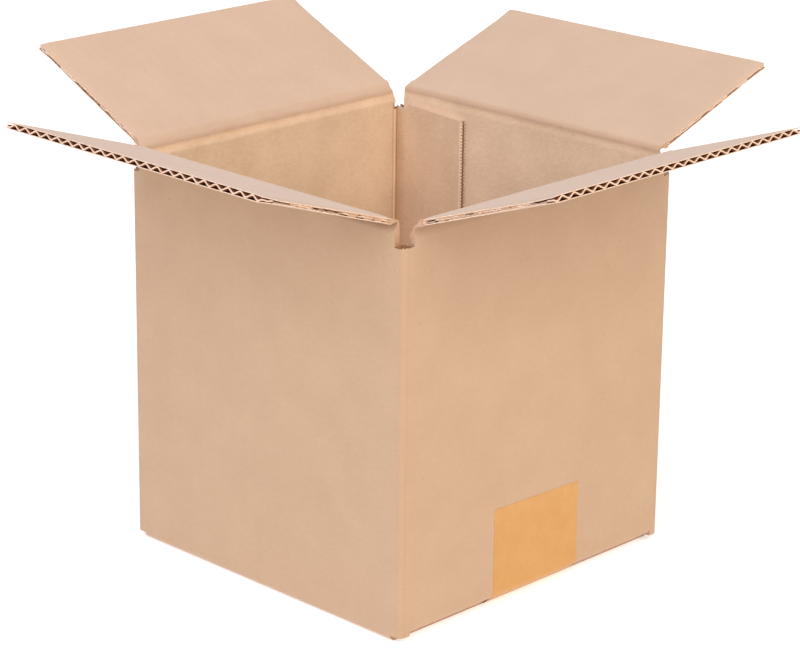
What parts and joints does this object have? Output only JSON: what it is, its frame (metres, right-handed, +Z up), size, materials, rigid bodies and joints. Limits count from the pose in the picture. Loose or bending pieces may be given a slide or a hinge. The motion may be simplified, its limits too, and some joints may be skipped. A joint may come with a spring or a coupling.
{
  "type": "open corrugated cardboard box",
  "caption": "Square corrugated shipping box, taped shut at the bottom, with its four top flaps standing open on creased hinges.",
  "frame": {"origin": "middle of the underside, on the surface that the box stands on", "axes": "+Z up, +X out through the right wall, +Y out through the back wall; the taped bottom seam runs along X and the tape climbs both X walls"},
  "size_m": [0.2881, 0.2889, 0.2003],
  "materials": {
    "kraft_board": "matt brown kraft liner on corrugated board",
    "buff_tape": "thin buff packing tape, slightly glossy"
  },
  "bodies": {
    "box": {"body": "kraft_board", "tape": "buff_tape"},
    "front_flap": {"flap_front": "kraft_board"},
    "right_flap": {"flap_right": "kraft_board"},
    "back_flap": {"flap_back": "kraft_board"},
    "left_flap": {"flap_left": "kraft_board"}
  },
  "joints": [
    {"name": "front_crease", "type": "hinge", "parent": "box", "child": "front_flap", "pos_m": [0, -0.0757, 0.1697], "axis": [1, 0, 0], "range_deg": [-162, 48]},
    {"name": "right_crease", "type": "hinge", "parent": "box", "child": "right_flap", "pos_m": [0.0771, 0, 0.168], "axis": [0, 1, 0], "range_deg": [-161, 49]},
    {"name": "back_crease", "type": "hinge", "parent": "box", "child": "back_flap", "pos_m": [0, 0.0757, 0.1697], "axis": [-1, 0, 0], "range_deg": [-160, 50]},
    {"name": "left_crease", "type": "hinge", "parent": "box", "child": "left_flap", "pos_m": [-0.0771, 0, 0.168], "axis": [0, -1, 0], "range_deg": [-155, 55]}
  ]
}
